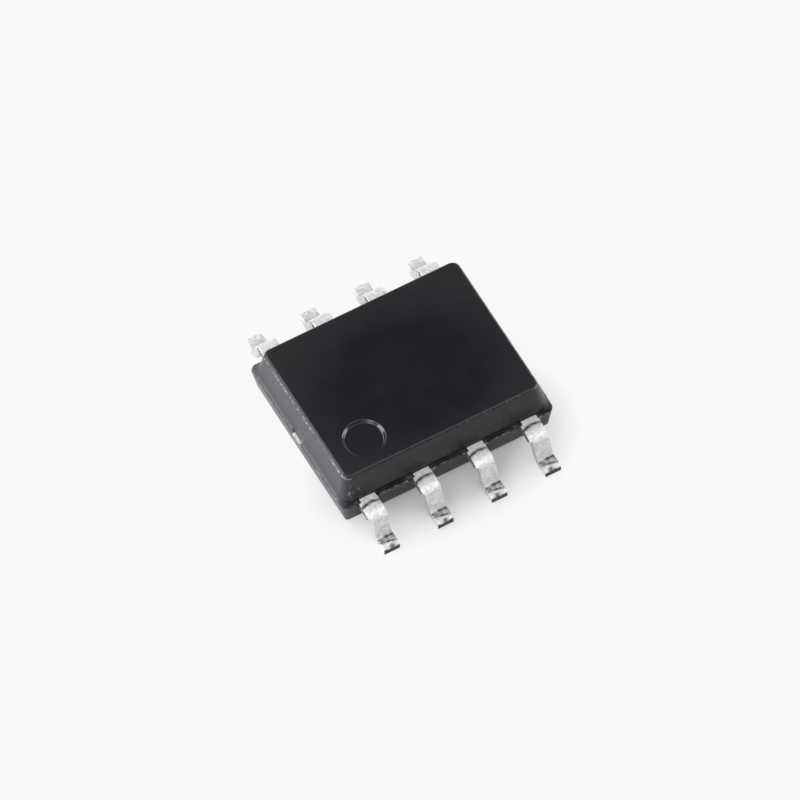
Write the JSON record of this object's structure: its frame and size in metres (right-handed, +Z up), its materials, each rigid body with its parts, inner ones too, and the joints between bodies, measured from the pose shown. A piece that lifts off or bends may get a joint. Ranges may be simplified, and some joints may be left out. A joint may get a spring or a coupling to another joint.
{
  "type": "soic chip",
  "caption": "Small-outline integrated circuit: drafted black moulded body with a dimple at the first lead, and formed gull-wing leads along both long sides.",
  "frame": {"origin": "on the seating plane of the feet, under the middle of the body", "axes": "+X along the body's length with the first lead at -X, -Y towards leads 1 to 4, +Z up from the seating plane"},
  "size_m": [0.005, 0.006, 0.0014],
  "materials": {
    "mould_compound": "fine spark-eroded matt, near black",
    "tin_plate": "matt tin plate, smooth and bright where the forming tool has rubbed it, copper-brown at the cut tips",
    "leadframe_copper": "rolled copper alloy",
    "die_adhesive": "cured silver-filled epoxy",
    "silicon": "polished, with a faint pattern of metal",
    "bond_wire": "drawn gold wire"
  },
  "bodies": {
    "root": {"package_body": "mould_compound", "lead_1": "tin_plate", "lead_2": "tin_plate", "lead_3": "tin_plate", "lead_4": "tin_plate", "lead_5": "tin_plate", "lead_6": "tin_plate", "lead_7": "tin_plate", "lead_8": "tin_plate", "die_paddle": "leadframe_copper", "die_attach": "die_adhesive", "silicon_die": "silicon", "bond_wire_1": "bond_wire", "bond_wire_2": "bond_wire", "bond_wire_3": "bond_wire", "bond_wire_4": "bond_wire", "bond_wire_5": "bond_wire", "bond_wire_6": "bond_wire", "bond_wire_7": "bond_wire", "bond_wire_8": "bond_wire"}
  },
  "joints": []
}
